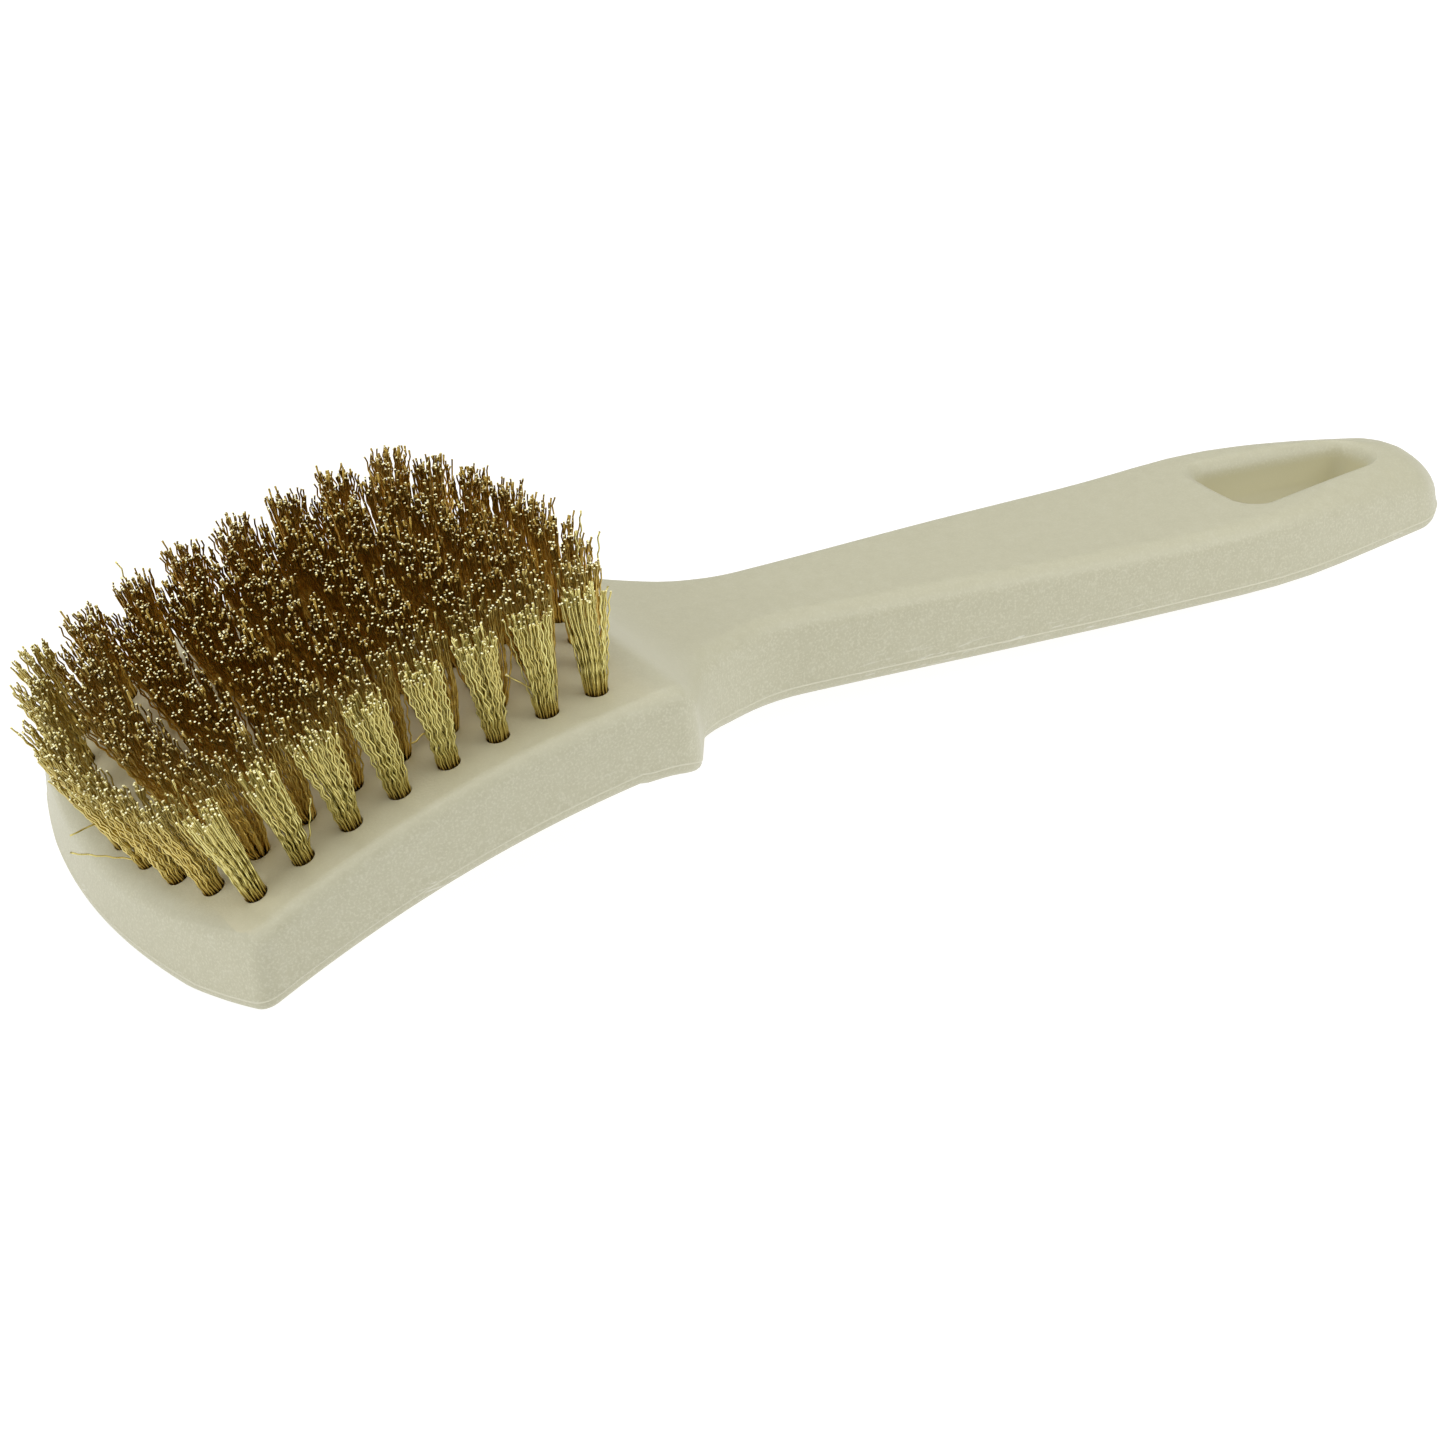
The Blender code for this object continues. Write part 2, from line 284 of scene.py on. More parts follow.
def wall_levels():
    """Levels up the wall as (inset, height at x)."""
    levels = []
    for n in range(BACK_ROUND_STEPS + 1):
        a = math.pi / 2 * n / BACK_ROUND_STEPS
        rise = PARTING_HEIGHT * (1 - math.cos(a))
        levels.append((PARTING_HEIGHT * (1 - math.sin(a)), lambda x, rise=rise: back_height(x) + rise))
    for rise, proud in ((0.05, 0.6), (FLASH_RISE, 1.0), (0.21, 0.6), (FLASH_TOP, 0.0)):
        levels.append((-FLASH * proud, lambda x, rise=rise: parting_height(x) + rise))
    for part in (0.25, 0.5, 0.75, 1.0):
        levels.append((WALL_DRAFT * part, lambda x, part=part: wall_height(x, part)))
    return levels


def parting_height(x):
    return back_height(x) + PARTING_HEIGHT


def wall_height(x, part):
    """Height at x on the wall, from just over the parting line to where the top edge starts to round."""
    low = parting_height(x) + FLASH_TOP
    high = max(low + LEAST_WALL, top_height(x) - top_edge(x)[1])
    return low + (high - low) * part


def distance_to(outline, points):
    """Shortest distance in plan from each point to a closed outline. Both are arrays of (x, y)."""
    start = outline
    run = np.roll(outline, -1, axis=0) - start
    best = np.full(len(points), np.inf)
    for a, d in zip(start, run):
        t = np.clip(((points - a) @ d) / max(d @ d, 1e-12), 0, 1)
        best = np.minimum(best, np.linalg.norm(points - a - t[:, None] * d, axis=1))
    return best


def cap_rows(far_ring):
    """Rows of (x, y, z) across the top, one for each ring point, with the top edge rounded over."""
    rim = np.array([(p.x, p.y) for p in far_ring])
    outline = np.concatenate([rim, rim[-2:0:-1] * (1, -1)])
    rows = []
    for x, half_width in rim:
        reach = min(top_edge(x)[0], 0.9 * half_width)
        turns = np.linspace(0, math.pi / 2, CAP_ROUND_STEPS + 1)[1:]
        inward = np.concatenate([reach * (1 - np.cos(turns)),
                                 np.linspace(reach, half_width, CAP_FLAT_STEPS + 1)[1:]])
        y = half_width - inward
        rows.append(np.concatenate([y, -y[-2::-1]]))
    width = len(rows[0])
    plan = np.stack([np.repeat(rim[:, 0], width), np.concatenate(rows)], axis=1)
    away = distance_to(outline, plan)
    heights = []
    for (x, _), d in zip(plan, away):
        drop = top_height(x) - wall_height(x, 1.0)
        left = max(1 - d / top_edge(x)[0], 0.0)
        heights.append(top_height(x) - drop * (1 - math.sqrt(1 - left**2)))
    return np.column_stack([plan, heights]).reshape(len(rim), width, 3)


def body_mesh():
    """The moulding without its holes: a back, a wall in levels and a top that rounds into it."""
    path = half_outline()
    outs = [outward(path, k) for k in range(len(path))]
    last = len(path) - 1
    bm = bmesh.new()
    rings = []
    for inset, height in wall_levels():
        near, far = [], []
        for k, point in enumerate(path):
            place = point - outs[k] * inset
            z = height(place.x)
            far.append(bm.verts.new((place.x, max(place.y, 0.0), z)))
            near.append(bm.verts.new((place.x, -place.y, z)) if 0 < k < last else far[-1])
        rings.append((near, far))
    for lower, upper in zip(rings, rings[1:]):
        for side in (0, 1):
            for k in range(last):
                bm.faces.new((lower[side][k], lower[side][k + 1], upper[side][k + 1], upper[side][k]))
    near, far = rings[0]
    for k in range(last):
        bm.faces.new(list(dict.fromkeys((near[k], near[k + 1], far[k + 1], far[k]))))
    near, far = rings[-1]
    strips = []
    for k, row in enumerate(cap_rows([v.co for v in far])):
        if k in (0, last):
            strips.append([far[k]] * (len(row) + 2))
        else:
            strips.append([far[k], *(bm.verts.new(point) for point in row), near[k]])
    for before, after in zip(strips, strips[1:]):
        for n in range(len(before) - 1):
            corners = dict.fromkeys((before[n], before[n + 1], after[n + 1], after[n]))
            bm.faces.new(list(corners))
    bmesh.ops.recalc_face_normals(bm, faces=bm.faces)
    return bm


def slot_mesh():
    """The space of the hanging slot: tapered, flared at both rims, with a low ridge half way up."""
    corners = [
        (SLOT_NEAR_X, 0, 0),
        (SLOT_NEAR_X + 0.3, SLOT_NEAR_HALF_WIDTH, SLOT_CORNER_RADIUS),
        (SLOT_FAR_X - 0.3, SLOT_FAR_HALF_WIDTH, SLOT_CORNER_RADIUS),
        (SLOT_FAR_X, 0, 0),
    ]
    path = rounded_path(corners, math.radians(8), 1.5)
    over, widest, below, above = 2.0, SLOT_RIM + 0.4, 0.3, 0.4
    turns = [math.pi / 2 * n / SLOT_RIM_STEPS for n in range(SLOT_RIM_STEPS + 1)]
    levels = [(back_height, -over, widest)]
    for a in turns:
        flare = below + (SLOT_RIM - below) * (1 - math.sin(a)) ** 1.6
        levels.append((back_height, SLOT_RIM * math.sin(a), flare))
    levels += [
        (back_height, SLOT_RIDGE_HEIGHT - 0.5, SLOT_RIDGE),
        (back_height, SLOT_RIDGE_HEIGHT, 0.0),
        (back_height, SLOT_RIDGE_HEIGHT + 0.5, SLOT_RIDGE),
    ]
    for a in turns:
        flare = above + (SLOT_RIM - above) * (1 - math.cos(a))
        levels.append((top_height, SLOT_RIM * (math.sin(a) - 1), flare))
    levels.append((top_height, over, widest))
    bm = bmesh.new()
    rings = []
    for height, offset, flare in levels:
        half = [point + outward(path, k) * flare for k, point in enumerate(path)]
        mirrored = [Vector((p.x, -p.y)) for p in reversed(half[1:-1])]
        rings.append([bm.verts.new((p.x, p.y, height(p.x) + offset)) for p in half + mirrored])
    count = len(rings[0])
    for lower, upper in zip(rings, rings[1:]):
        for k in range(count):
            after = (k + 1) % count
            bm.faces.new((lower[k], lower[after], upper[after], upper[k]))
    for ring in (rings[0], rings[-1]):
        bmesh.ops.triangulate(bm, faces=[bm.faces.new(ring)])
    bmesh.ops.recalc_face_normals(bm, faces=bm.faces)
    return bm


def tuft_seats(row):
    """Where the tufts of a row stand: matrices in millimetres, with Z out of the face."""
    y = (row - (ROWS - 1) / 2) * ROW_PITCH
    edge_y = (ROWS - 1) / 2 * ROW_PITCH
    bow = math.sqrt(ROW_END_RADIUS**2 - y**2) - math.sqrt(ROW_END_RADIUS**2 - edge_y**2)
    reach = TUFT_PITCH * (OUTER_ROW_TUFTS - 1) / 2 + bow
    count = OUTER_ROW_TUFTS if row in (0, ROWS - 1) else INNER_ROW_TUFTS
    centre = arc_centre(FACE_RADIUS, FACE_Z)
    seats = []
    for n in range(count):
        along = -reach + 2 * reach * n / (count - 1)
        lean = along / FACE_RADIUS - FACE_DIP
        x = centre.x + FACE_RADIUS * math.sin(lean)
        z = centre.y + FACE_RADIUS * math.cos(lean)
        seats.append(Matrix.Translation(Vector((x, y, z))) @ Matrix.Rotation(lean, 4, "Y"))
    return seats


def holes_mesh():
    """The spaces of the tuft holes, each with a small lead-in at the face."""
    mouth = HOLE_RADIUS + HOLE_LEAD_IN
    profile = ((HOLE_RADIUS, -HOLE_DEPTH), (HOLE_RADIUS, -0.1), (mouth, 0.0), (mouth, 2.0))
    turns = [2 * math.pi * n / HOLE_SIDES for n in range(HOLE_SIDES)]
    bm = bmesh.new()
    for row in range(ROWS):
        for seat in tuft_seats(row):
            rings = []
            for radius, height in profile:
                points = [Vector((radius * math.cos(a), radius * math.sin(a), height)) for a in turns]
                rings.append([bm.verts.new(seat @ point) for point in points])
            for lower, upper in zip(rings, rings[1:]):
                for n in range(HOLE_SIDES):
                    after = (n + 1) % HOLE_SIDES
                    bm.faces.new((lower[n], lower[after], upper[after], upper[n]))
            bm.faces.new(list(reversed(rings[0])))
            bm.faces.new(rings[-1])
    bmesh.ops.recalc_face_normals(bm, faces=bm.faces)
    return bm


def object_from(name, bm):
    """An object from bm, which is in millimetres."""
    bmesh.ops.scale(bm, vec=(MM, MM, MM), verts=bm.verts)
    mesh = bpy.data.meshes.new(name)
    bm.to_mesh(mesh)
    bm.free()
    obj = bpy.data.objects.new(name, mesh)
    bpy.context.scene.collection.objects.link(obj)
    return obj


def mark_regions(mesh):
    """Fields for the material: the flash and its surroundings, the slot's walls, for painted shade, the face
    round the wire, for painted light reflected from the brass, and the upright walls."""
    names = ("flash_line", "low_edge", "slot_painted_shade", "painted_brass_bounce", "upright")
    for name in names:
        mesh.attributes.new(name, "FLOAT", "POINT")
    flash, low_edge, slot_painted_shade, painted_brass_bounce, upright = (mesh.attributes[name] for name in names)
    slot_middle = (SLOT_NEAR_X + SLOT_FAR_X) / 2
    slot_reach = (SLOT_FAR_X - SLOT_NEAR_X) / 2 + 1.0
    centre = arc_centre(FACE_RADIUS, FACE_Z)
    for k, vertex in enumerate(mesh.vertices):
        x, y, z = vertex.co / MM
        off = z - parting_height(x) - FLASH_RISE
        flash.data[k].value = 1.0 if abs(off) < 0.1 else 0.0
        upright.data[k].value = smooth_step(1 - abs(vertex.normal.z), 0.3, 0.75)
        low_edge.data[k].value = math.exp(-((off / 1.6) ** 2))
        # Painted shade on the slot's walls, fading in below the top of the handle.
        if abs(x - slot_middle) < slot_reach and abs(y) < SLOT_NEAR_HALF_WIDTH + 1.0:
            slot_painted_shade.data[k].value = smooth_step(top_height(x) - z, 0.6, 3.0)
        # Painted light reflected from the brass onto the face round the tufts, stronger further in from the
        # edges.
        face_drop = abs(math.hypot(x - centre.x, z - centre.y) - FACE_RADIUS)
        if face_drop < 0.5 and x - FACE_X < 31:
            inward = min(BLOCK_HALF_WIDTH - abs(y), x - NOSE_X - 1.5, FACE_X + 32.0 - x)
            near = smooth_step(inward, 0.0, 6.0) + smooth_step(inward, 7.0, 12.0)
            painted_brass_bounce.data[k].value = 0.5 * near


def make_body(material):
    body = object_from("moulded_body", body_mesh())
    cutters = [object_from("hole_spaces", holes_mesh()), object_from("slot_space", slot_mesh())]
    for cutter in cutters:
        cut = body.modifiers.new(cutter.name, "BOOLEAN")
        cut.operation = "DIFFERENCE"
        cut.solver = "EXACT"
        cut.object = cutter
    bpy.context.view_layer.update()
    cut_body = body.evaluated_get(bpy.context.evaluated_depsgraph_get())
    mesh = bpy.data.meshes.new_from_object(cut_body)
    body.modifiers.clear()
    body.data = mesh
    for cutter in cutters:
        bpy.data.objects.remove(cutter, do_unlink=True)
    mark_regions(mesh)
    mesh.shade_smooth()
    mesh.set_sharp_from_angle(angle=math.radians(38))
    normals = body.modifiers.new("even_normals", "WEIGHTED_NORMAL")
    normals.keep_sharp = True
    mesh.materials.clear()
    mesh.materials.append(material)
    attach(body, "root")
    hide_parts("block_handle")
    return body


def tubes(paths, radius, sides, end_flare=1.0):
    """Tubes round paths (count, points, 3): vertices, walls, far ends and near ends."""
    count, points, _ = paths.shape
    along = np.gradient(paths, axis=1)
    along /= np.linalg.norm(along, axis=2, keepdims=True)
    across = np.cross(along, np.array([0.0, 1.0, 0.0]))
    across /= np.linalg.norm(across, axis=2, keepdims=True)
    third = np.cross(along, across)
    turns = 2 * np.pi * np.arange(sides) / sides
    ring = (across[:, :, None] * np.cos(turns)[None, None, :, None]
            + third[:, :, None] * np.sin(turns)[None, None, :, None])
    ring[:, -1] *= end_flare
    vertices = (paths[:, :, None] + radius * ring).reshape(-1, 3)
    index = np.arange(count * points * sides).reshape(count, points, sides)
    beside = np.roll(index, -1, axis=2)
    walls = np.stack([index[:, :-1], beside[:, :-1], beside[:, 1:], index[:, 1:]], axis=-1).reshape(-1, 4)
    return vertices, walls, index[:, -1], index[:, 0, ::-1]


def turned(turns, reach):
    """Points in plan, as (count, 2), at reach along each of turns."""
    return np.stack([np.cos(turns), np.sin(turns)], axis=1) * np.broadcast_to(reach, turns.shape)[:, None]


def crimp(rng, wires, steps):
    """The crimp of a tuft's wires: heights (wires, steps) that catch its peaks, and its sideways wave."""
    phase = rng.uniform(0, 2 * math.pi) + rng.normal(0, CRIMP_SCATTER, wires)
    length = CRIMP_LENGTH * rng.normal(1.0, 0.04, wires)
    turn = rng.uniform(0, math.pi) + rng.normal(0, 0.5, wires)
    quarter = length / 4
    shift = quarter * (1 - (phase / (math.pi / 2)) % 1.0)
    caught = shift[:, None] + quarter[:, None] * np.arange(steps)[None, :]
    height = CRIMP_HEIGHT * rng.uniform(0.7, 1.3, wires)

    def wave(at):
        strength = height[:, None] * np.clip(at / 2.5, 0.0, 1.0)
        swing = strength * np.sin(2 * math.pi * at / length[:, None] + phase[:, None])
        return np.stack([np.cos(turn), np.sin(turn)], axis=1)[:, None] * swing[..., None]

    return caught, wave


def wire_paths(rng, wires, tip_radius, flare):
    """Centre lines of a tuft's wires in its own axes, and how far up each point is, from 0 to 1."""
    order = np.arange(wires)
    spread_out = np.sqrt((order + 0.5) / wires)
    turn = order * math.pi * (3 - math.sqrt(5)) + rng.uniform(0, 2 * math.pi)
    base = turned(turn, BASE_RADIUS * spread_out)
    tip_turn = turn + rng.normal(0, 0.12, wires)
    tip = turned(tip_turn, tip_radius * spread_out * rng.normal(1.0, 0.08, wires))
    tip += rng.normal(0, TIP_SCATTER, (wires, 2))
    clumps = turned(rng.uniform(0, 2 * math.pi, CLUMPS), tip_radius * np.sqrt(rng.random(CLUMPS)))
    nearest = np.argmin(np.linalg.norm(tip[:, None] - clumps, axis=2), axis=1)
    tip += CLUMPING * (clumps[nearest] - tip)
    height = TUFT_HEIGHT + TRIM_ABOVE - np.abs(rng.normal(0, TRIM_SCATTER, wires))
    long = rng.random(wires) < LONG_WIRES
    height[long] += rng.uniform(0.8, 2.0, long.sum())
    steps = int(TUFT_HEIGHT / (CRIMP_LENGTH / 4)) + 1
    rise, wave = crimp(rng, wires, steps)
    rise = np.minimum(rise, height[:, None] - 0.15)
    in_hole = np.tile((-ROOT_DEPTH, -0.8, 0.0), (wires, 1))
    rise = np.concatenate([in_hole, rise, height[:, None]], axis=1)
    part = np.clip(rise / height[:, None], 0, 1)
    middle = base[:, None] + (tip - base)[:, None] * (part**flare)[..., None]
    wander_turn = rng.uniform(0, 2 * math.pi, wires)
    wander = WANDER * np.sin(part * math.pi * 1.3) * np.sin(part * 4.0 + wander_turn[:, None])
    middle = middle + turned(wander_turn, 1.0)[:, None] * wander[..., None]
    middle = middle + wave(rise)
    return np.concatenate([middle, rise[..., None]], axis=2), part


def wire_object(name, paths, part, place, painted_shade, rng, materials):
    """An object of crimped wires along paths, whose cut ends take the second material.

    The painted shade argument runs from 0, for bright wire, to 1, for wire with full painted shade, browned
    toward its tips.
    """
    vertices, walls, tips, roots = tubes(paths, WIRE_RADIUS, WIRE_SIDES, CUT_BURR)
    turn = np.array(place)
    vertices = (vertices @ turn[:3, :3].T + turn[:3, 3]) * MM
    faces = walls.tolist() + tips.tolist() + roots.tolist()
    mesh = bpy.data.meshes.new(name)
    mesh.from_pydata(vertices.tolist(), [], faces)
    fields = {
        "wire_shade": np.repeat(rng.random(len(paths)), paths.shape[1] * WIRE_SIDES),
        "wire_height": np.repeat(part, WIRE_SIDES),
        "wire_painted_shade": np.full(len(vertices), painted_shade),
    }
    for field, values in fields.items():
        mesh.attributes.new(field, "FLOAT", "POINT").data.foreach_set("value", values)
    for material in materials:
        mesh.materials.append(material)
    is_tip = np.zeros(len(faces), dtype=np.int32)
    is_tip[len(walls):len(walls) + len(tips)] = 1
    mesh.polygons.foreach_set("material_index", is_tip)
    smooth = np.zeros(len(faces), dtype=bool)
    smooth[:len(walls)] = True
    mesh.polygons.foreach_set("use_smooth", smooth)
    mesh.update()
    wires = bpy.data.objects.new(name, mesh)
    bpy.context.scene.collection.objects.link(wires)
    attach(wires, "root")
    return wires


def stray_path(rng, turn, tilt, start, length):
    """Centre line of a wire that leaves its tuft at height start, turned about it and tilted away."""
    steps = round(length / (CRIMP_LENGTH / 4))
    run = np.linspace(0, length, steps + 1)
    bend = tilt * np.clip(0.35 + run / 2.0, 0, 1)
    step = length / steps
    out = np.concatenate([[0], np.cumsum(np.sin(bend[1:]) * step)])
    up = start + np.concatenate([[0], np.cumsum(np.cos(bend[1:]) * step)])
    wave = np.sin(2 * math.pi * run / CRIMP_LENGTH + rng.uniform(0, 6))
    swing = CRIMP_HEIGHT * wave * np.clip(run / 1.5, 0, 1)
    out += BASE_RADIUS * 0.8
    away = np.array([math.cos(turn), math.sin(turn)])
    beside = np.array([-away[1], away[0]])
    plan = out[:, None] * away + swing[:, None] * beside
    lifted = up + 0.5 * swing
    return np.column_stack([plan, lifted])[None], (up / TUFT_HEIGHT).clip(0, 1)[None]


def make_staple(name, seat, material):
    """The folded steel wire that pins a tuft: a bar across the hole with two legs into its bottom."""
    half_bar = HOLE_RADIUS * 0.72
    top = -ROOT_DEPTH - STAPLE_RADIUS
    foot = -HOLE_DEPTH + 0.1
    arc = np.linspace(0, math.pi / 2, 5)
    across = half_bar - STAPLE_BEND + STAPLE_BEND * np.sin(arc)
    right = np.column_stack([across, np.zeros(5), top - STAPLE_BEND + STAPLE_BEND * np.cos(arc)])
    path = np.concatenate([[(-half_bar, 0, foot)], right[::-1] * (-1, 1, 1), right, [(half_bar, 0, foot)]])
    vertices, walls, tips, roots = tubes(path[None], STAPLE_RADIUS, 8)
    turn = np.array(seat)
    vertices = (vertices @ turn[:3, :3].T + turn[:3, 3]) * MM
    mesh = bpy.data.meshes.new(name)
    mesh.from_pydata(vertices.tolist(), [], walls.tolist() + tips.tolist() + roots.tolist())
    mesh.shade_smooth()
    mesh.materials.append(material)
    staple = bpy.data.objects.new(name, mesh)
    bpy.context.scene.collection.objects.link(staple)
    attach(staple, "root")


def cad_nodes_of(row):
    """For each tuft of a row, the CAD nodes that it is first to stand for."""
    names = []
    outer = row in (0, ROWS - 1)
    groups = (1,) * OUTER_ROW_TUFTS if outer else INNER_ROW_GROUPS
    first = 1
    for size in groups:
        node = "tuft_" + ROW_NAMES[row] + "_".join(str(first + n) for n in range(size))
        names += [node] * size
        first += size
    return names


def make_tufts(materials, staple_material):
    rng = np.random.default_rng(SEED)
    for row in range(ROWS):
        nodes = cad_nodes_of(row)
        seats = tuft_seats(row)
        for n, seat in enumerate(seats):
            at_edge = row in (0, ROWS - 1) or n in (0, len(seats) - 1)
            paths, part = wire_paths(rng, WIRES, *(OUTER_SHAPE if at_edge else INNER_SHAPE))
            name = f"{ROW_NAMES[row]}{n + 1}"
            # How much painted shade this tuft's wire takes.
            painted_shade = min(PAINTED_SHADE_BY_ROW[min(row, 2)], PAINTED_SHADE_BY_TUFT[min(n, 2)])
            tuft = wire_object("wire_tuft_" + name, paths, part, seat, painted_shade, rng, materials)
            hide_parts(nodes[n])
            make_staple("staple_" + name, seat, staple_material)
    for k, (row_name, tuft, turn, tilt, start, length) in enumerate(STRAYS):
        seat = tuft_seats(ROW_NAMES.index(row_name))[tuft - 1]
        path, part = stray_path(rng, math.radians(turn), math.radians(tilt), start, length)
        wire_object(f"stray_wire_{k + 1}", path, part, seat, 0.0, rng, materials)


def socket(shader, name, value):
    shader.inputs[name].default_value = value


def node(tree, kind, **settings):
    made = tree.nodes.new(kind)
    for key, value in settings.items():
        setattr(made, key, value)
    return made


def noise(tree, vector, scale, detail=3.0, roughness=0.5):
    made = node(tree, "ShaderNodeTexNoise")
    made.inputs["Scale"].default_value = scale
    made.inputs["Detail"].default_value = detail
    made.inputs["Roughness"].default_value = roughness
    tree.links.new(vector, made.inputs["Vector"])
    return made.outputs["Fac"]


def ramp(tree, factor, stops):
    """A colour ramp over factor. stops are (position, colour)."""
    made = node(tree, "ShaderNodeValToRGB")
    elements = made.color_ramp.elements
    while len(elements) < len(stops):
        elements.new(0.5)
    for element, (position, colour) in zip(elements, stops):
        element.position = position
        element.color = (*colour, 1.0)
    tree.links.new(factor, made.inputs["Fac"])
    return made.outputs["Color"]


def mix(tree, factor, a, b, blend="MIX"):
    """Mixes colour b into a. factor is a socket or a number."""
    made = node(tree, "ShaderNodeMix", data_type="RGBA", blend_type=blend)
    for value, name in ((factor, 0), (a, 6), (b, 7)):
        if isinstance(value, bpy.types.NodeSocket):
            tree.links.new(value, made.inputs[name])
        else:
            made.inputs[name].default_value = value
    return made.outputs[2]


def spread(tree, factor, low, high):
    """factor, from 0 to 1, spread over low to high."""
    made = node(tree, "ShaderNodeMapRange")
    made.inputs["To Min"].default_value = low
    made.inputs["To Max"].default_value = high
    tree.links.new(factor, made.inputs["Value"])
    return made.outputs["Result"]


def new_material(name, colour):
    material = bpy.data.materials.new(name)
    material.use_nodes = True
    material.diffuse_color = (*colour, 1.0)
    tree = material.node_tree
    return material, tree, tree.nodes["Principled BSDF"]


def bump(tree, shader, height, strength, distance):
    made = node(tree, "ShaderNodeBump")
    made.inputs["Strength"].default_value = strength
    made.inputs["Distance"].default_value = distance
    tree.links.new(height, made.inputs["Height"])
    tree.links.new(made.outputs["Normal"], shader.inputs["Normal"])


def attribute(tree, name):
    return node(tree, "ShaderNodeAttribute", attribute_name=name).outputs["Fac"]


def product(tree, a, b):
    made = node(tree, "ShaderNodeMath", operation="MULTIPLY", use_clamp=True)
    for value, socket_in in zip((a, b), made.inputs):
        if isinstance(value, bpy.types.NodeSocket):
            tree.links.new(value, socket_in)
        else:
            socket_in.default_value = value
    return made.outputs[0]


def threshold(tree, factor, low, high):
    """0 below low, 1 above high."""
    made = node(tree, "ShaderNodeMapRange", interpolation_type="SMOOTHSTEP")
    made.inputs["From Min"].default_value = low
    made.inputs["From Max"].default_value = high
    tree.links.new(factor, made.inputs["Value"])
    return made.outputs["Result"]


def stretched(tree, vector, scale):
    made = node(tree, "ShaderNodeMapping")
    made.inputs["Scale"].default_value = scale
    tree.links.new(vector, made.inputs["Vector"])
    return made.outputs["Vector"]


def plastic_material():
    """Matte ivory moulding: a fine frosted grain, faint mottling, a pale parting line and scuffs, with
    painted shade in the slot and painted light reflected from the brass on the face round the tufts.
    """
    base = (0.474, 0.456, 0.322)
    pale = (0.64, 0.625, 0.49, 1.0)
    material, tree, shader = new_material("frosted_ivory_plastic", base)
    place = node(tree, "ShaderNodeTexCoord").outputs["Object"]
    grain = noise(tree, place, 3000.0, 3.0, 0.6)
    mottle = noise(tree, place, 620.0, 4.0, 0.6)
    cloud = noise(tree, place, 30.0, 3.0, 0.5)
    mottled = ramp(tree, mottle, (
        (0.30, (0.452, 0.434, 0.304)),
        (0.52, base),
        (0.74, (0.492, 0.476, 0.348)),
    ))
    clouded = mix(tree, spread(tree, cloud, 0.0, 0.3), mottled, (0.479, 0.463, 0.337, 1.0))
    frost = spread(tree, attribute(tree, "upright"), 0.15, 0.42)
    specks = product(tree, threshold(tree, grain, 0.46, 0.66), frost)
    speckled = mix(tree, specks, clouded, pale)
    # Painted shade: the slot's walls are painted a deeper, warmer ivory, the colour of the plastic in the
    # slot's shade.
    slot_shade_painted = mix(tree, attribute(tree, "slot_painted_shade"), speckled, (0.50, 0.468, 0.295, 1.0))
    # Painted light: the face round the tufts is painted a lighter, warmer ivory, as if lit by light reflected
    # from the brass wire.
    brass_bounce_lit = mix(tree, product(tree, attribute(tree, "painted_brass_bounce"), 0.8), slot_shade_painted, (0.67, 0.61, 0.40, 1.0))
    streaks = noise(tree, stretched(tree, place, (0.10, 0.4, 1.0)), 2400.0, 2.0, 0.5)
    patches = threshold(tree, noise(tree, place, 60.0, 2.0, 0.5), 0.50, 0.60)
    streaked = product(tree, threshold(tree, streaks, 0.60, 0.68), patches)
    scuffs = product(tree, streaked, attribute(tree, "low_edge"))
    scuffed = mix(tree, product(tree, scuffs, 0.55), brass_bounce_lit, (0.74, 0.73, 0.65, 1.0))
    lined = mix(tree, product(tree, attribute(tree, "flash_line"), 0.7), scuffed, pale)
    tree.links.new(lined, shader.inputs["Base Color"])
    tree.links.new(spread(tree, mottle, 0.36, 0.56), shader.inputs["Roughness"])
    bump(tree, shader, grain, 0.3, 0.00012)
    return material


def wire_material():
    """Drawn brass: orange at the root of a tuft, straw toward the tips, browner deep in the brush, which is
    painted shade: brown toward the tips of inner tufts, more orange lower down.
    """
    material, tree, shader = new_material("crimped_brass_wire", (0.62, 0.54, 0.19))
    height = attribute(tree, "wire_height")
    shade = attribute(tree, "wire_shade")
    place = node(tree, "ShaderNodeTexCoord").outputs["Object"]
    along = ramp(tree, height, (
        (0.0, (0.50, 0.30, 0.04)),
        (0.06, (0.68, 0.54, 0.15)),
        (0.22, (0.78, 0.71, 0.27)),
        (1.0, (0.72, 0.65, 0.25)),
    ))
    varied = mix(tree, spread(tree, shade, 0.0, 0.5), along, (0.50, 0.36, 0.08, 1.0))
    stain = spread(tree, noise(tree, place, 900.0, 2.0), 0.0, 0.3)
    stained = mix(tree, stain, varied, (0.74, 0.69, 0.33, 1.0))
    # Painted shade: deep in the brush the wire is painted dark brown toward its tips, and a brighter orange
    # lower down, which lifts the shade between the tufts.
    painted_shade_ramp = ramp(tree, height, (
        (0.0, (0.90, 0.62, 0.15)),
        (0.5, (0.84, 0.56, 0.13)),
        (0.85, (0.54, 0.335, 0.05)),
        (1.0, (0.28, 0.18, 0.035)),
    ))
    with_painted_shade = mix(tree, product(tree, attribute(tree, "wire_painted_shade"), 0.92), stained, painted_shade_ramp)
    tree.links.new(with_painted_shade, shader.inputs["Base Color"])
    tree.links.new(spread(tree, noise(tree, place, 3000.0, 2.0), 0.22, 0.38), shader.inputs["Roughness"])
    socket(shader, "Metallic", 1.0)
    bump(tree, shader, noise(tree, place, 6000.0, 2.0), 0.2, 0.00005)
    return material


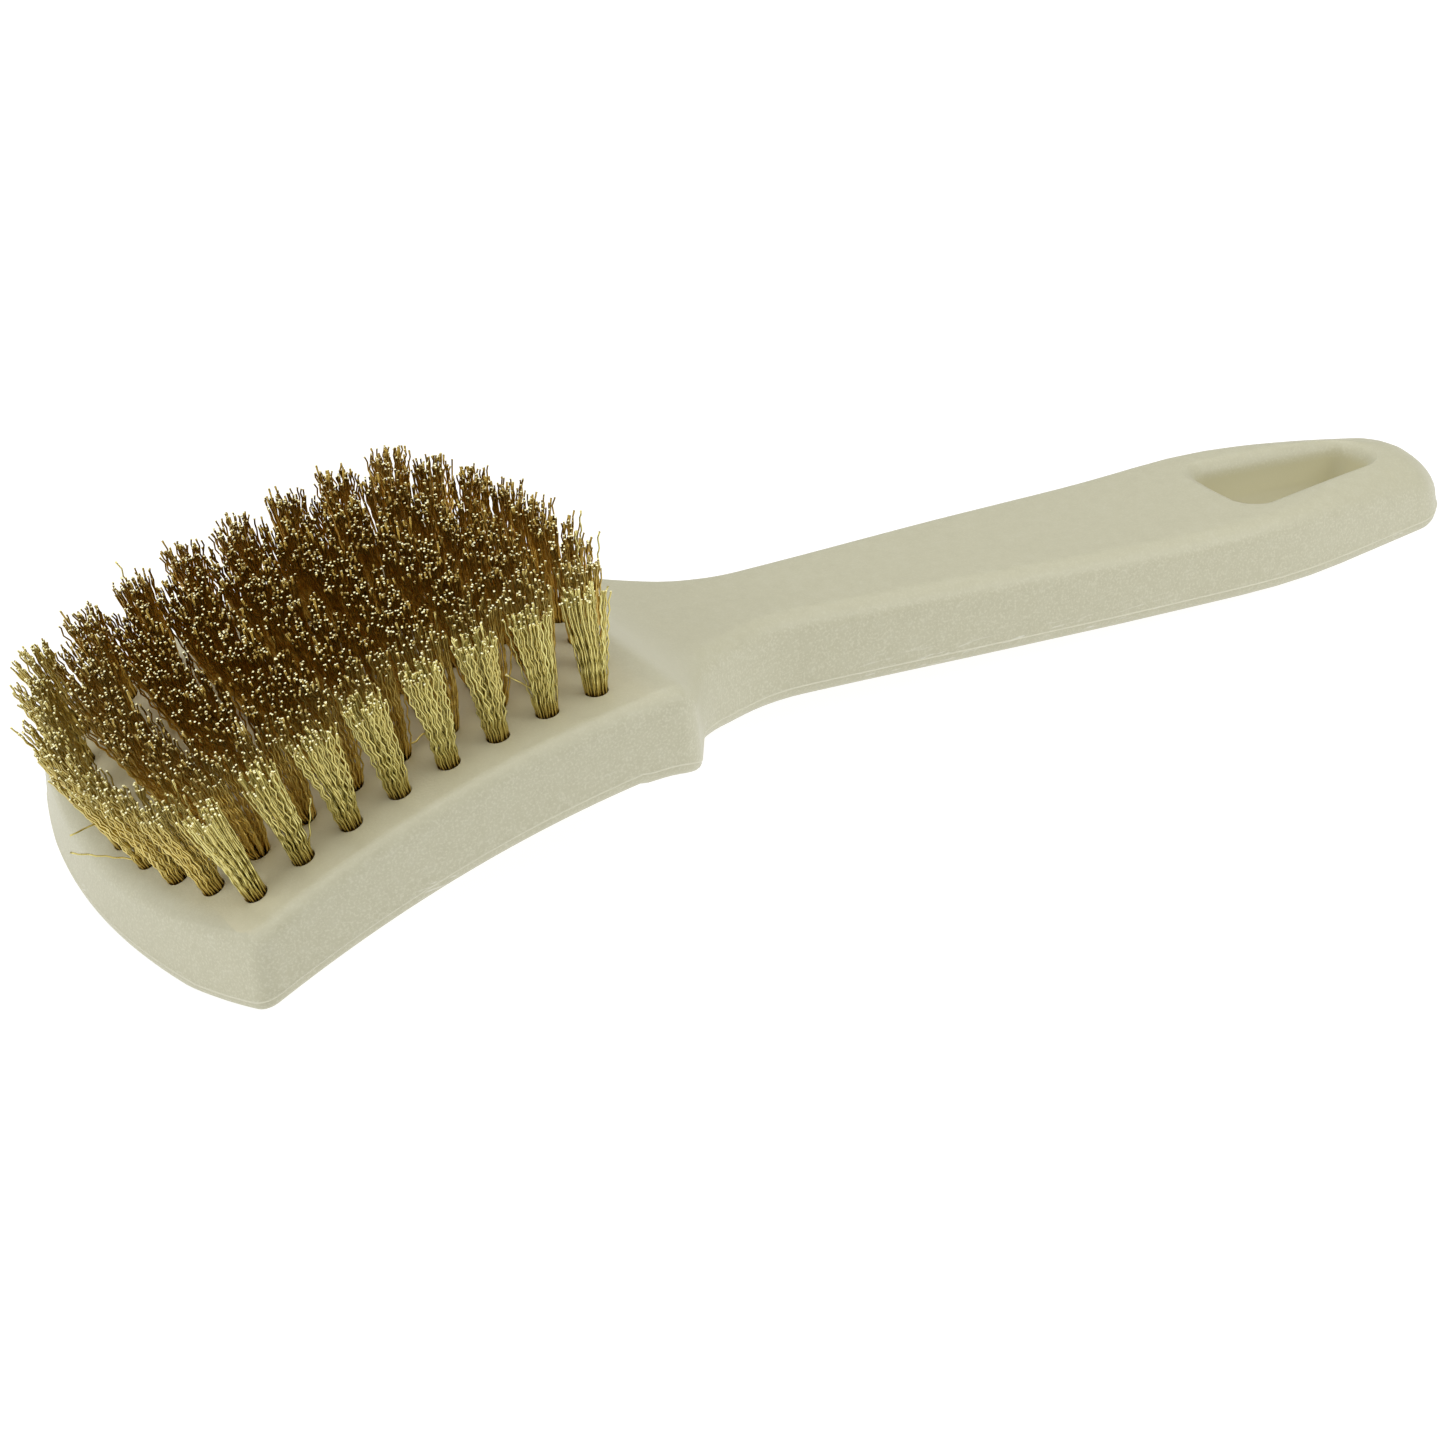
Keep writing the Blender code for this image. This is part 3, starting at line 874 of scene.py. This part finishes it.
def cut_end_material():
    """Cut wire ends of bright cut brass, with painted glints: most are painted near white, with a little
    stain, and some are as brown as their wire.
    """
    material, tree, shader = new_material("cut_ends_painted_glint", (1.0, 0.93, 0.55))
    place = node(tree, "ShaderNodeTexCoord").outputs["Object"]
    stain = noise(tree, place, 1500.0, 2.0)
    stained = ramp(tree, stain, ((0.35, (0.95, 0.86, 0.42)), (0.5, (1.0, 0.97, 0.62))))
    # Painted glints: the wire's random shade picks which cut ends are painted near white.
    painted_glint = threshold(tree, attribute(tree, "wire_shade"), 0.22, 0.38)
    colour = mix(tree, painted_glint, (0.32, 0.22, 0.05, 1.0), stained)
    tree.links.new(colour, shader.inputs["Base Color"])
    socket(shader, "Roughness", 0.35)
    return material


def steel_material():
    """Galvanised staple wire with a faint spangle."""
    material, tree, shader = new_material("galvanised_steel", (0.55, 0.56, 0.57))
    place = node(tree, "ShaderNodeTexCoord").outputs["Object"]
    spangle = noise(tree, place, 1800.0, 3.0)
    colour = ramp(tree, spangle, ((0.35, (0.42, 0.43, 0.44)), (0.65, (0.62, 0.63, 0.64))))
    tree.links.new(colour, shader.inputs["Base Color"])
    tree.links.new(spread(tree, noise(tree, place, 2600.0, 2.0), 0.35, 0.55), shader.inputs["Roughness"])
    socket(shader, "Metallic", 1.0)
    return material


def floor_material():
    material, tree, shader = new_material("pale_floor", (0.9, 0.9, 0.9))
    socket(shader, "Base Color", (0.25, 0.25, 0.25, 1.0))
    socket(shader, "Roughness", 0.9)
    socket(shader, "Emission Color", (1.0, 1.0, 1.0, 1.0))
    socket(shader, "Emission Strength", 0.88)
    return material


def make_stage():
    floor_size = 6.0
    bm = bmesh.new()
    bmesh.ops.create_grid(bm, x_segments=1, y_segments=1, size=floor_size / 2 / MM)
    floor = object_from("floor", bm)
    floor.data.materials.append(floor_material())
    world = bpy.data.worlds.new("soft_studio")
    world.use_nodes = True
    background = world.node_tree.nodes["Background"]
    background.inputs["Color"].default_value = (1.0, 1.0, 1.0, 1.0)
    background.inputs["Strength"].default_value = 0.38
    bpy.context.scene.world = world
    softboxes = (  # (name, place, size, power)
        ("top_softbox", (0.0, 0.1, 1.2), 1.4, 10.6),
        ("nose_softbox", (-1.0, 0.2, 0.5), 0.8, 4.4),
        ("handle_softbox", (0.29, -0.36, 0.30), 0.3, 1.0),
    )
    for name, place, size, power in softboxes:
        light = bpy.data.lights.new(name, "AREA")
        light.shape = "SQUARE"
        light.size = size
        light.energy = power
        lamp = bpy.data.objects.new(name, light)
        lamp.location = place
        lamp.rotation_euler = (-Vector(place)).to_track_quat("-Z", "Y").to_euler()
        bpy.context.scene.collection.objects.link(lamp)
    bpy.context.scene.view_settings.view_transform = "Standard"


def make_camera():
    data = bpy.data.cameras.new("camera")
    data.sensor_width = SENSOR
    data.lens = CAMERA_LENS
    data.clip_start = 0.01
    camera = bpy.data.objects.new("camera", data)
    place = (Vector((FACE_X, 0.0, FACE_Z)) + CAMERA_FROM_FACE) * MM
    turn = (Matrix.Rotation(-CAMERA_AZIMUTH, 4, "Z") @ Matrix.Rotation(math.pi / 2 - CAMERA_ELEVATION, 4, "X")
            @ Matrix.Rotation(CAMERA_ROLL, 4, "Z"))
    camera.matrix_world = Matrix.Translation(place) @ turn
    bpy.context.scene.collection.objects.link(camera)
    bpy.context.scene.camera = camera


make_camera()
make_stage()
make_body(plastic_material())
make_tufts((wire_material(), cut_end_material()), steel_material())
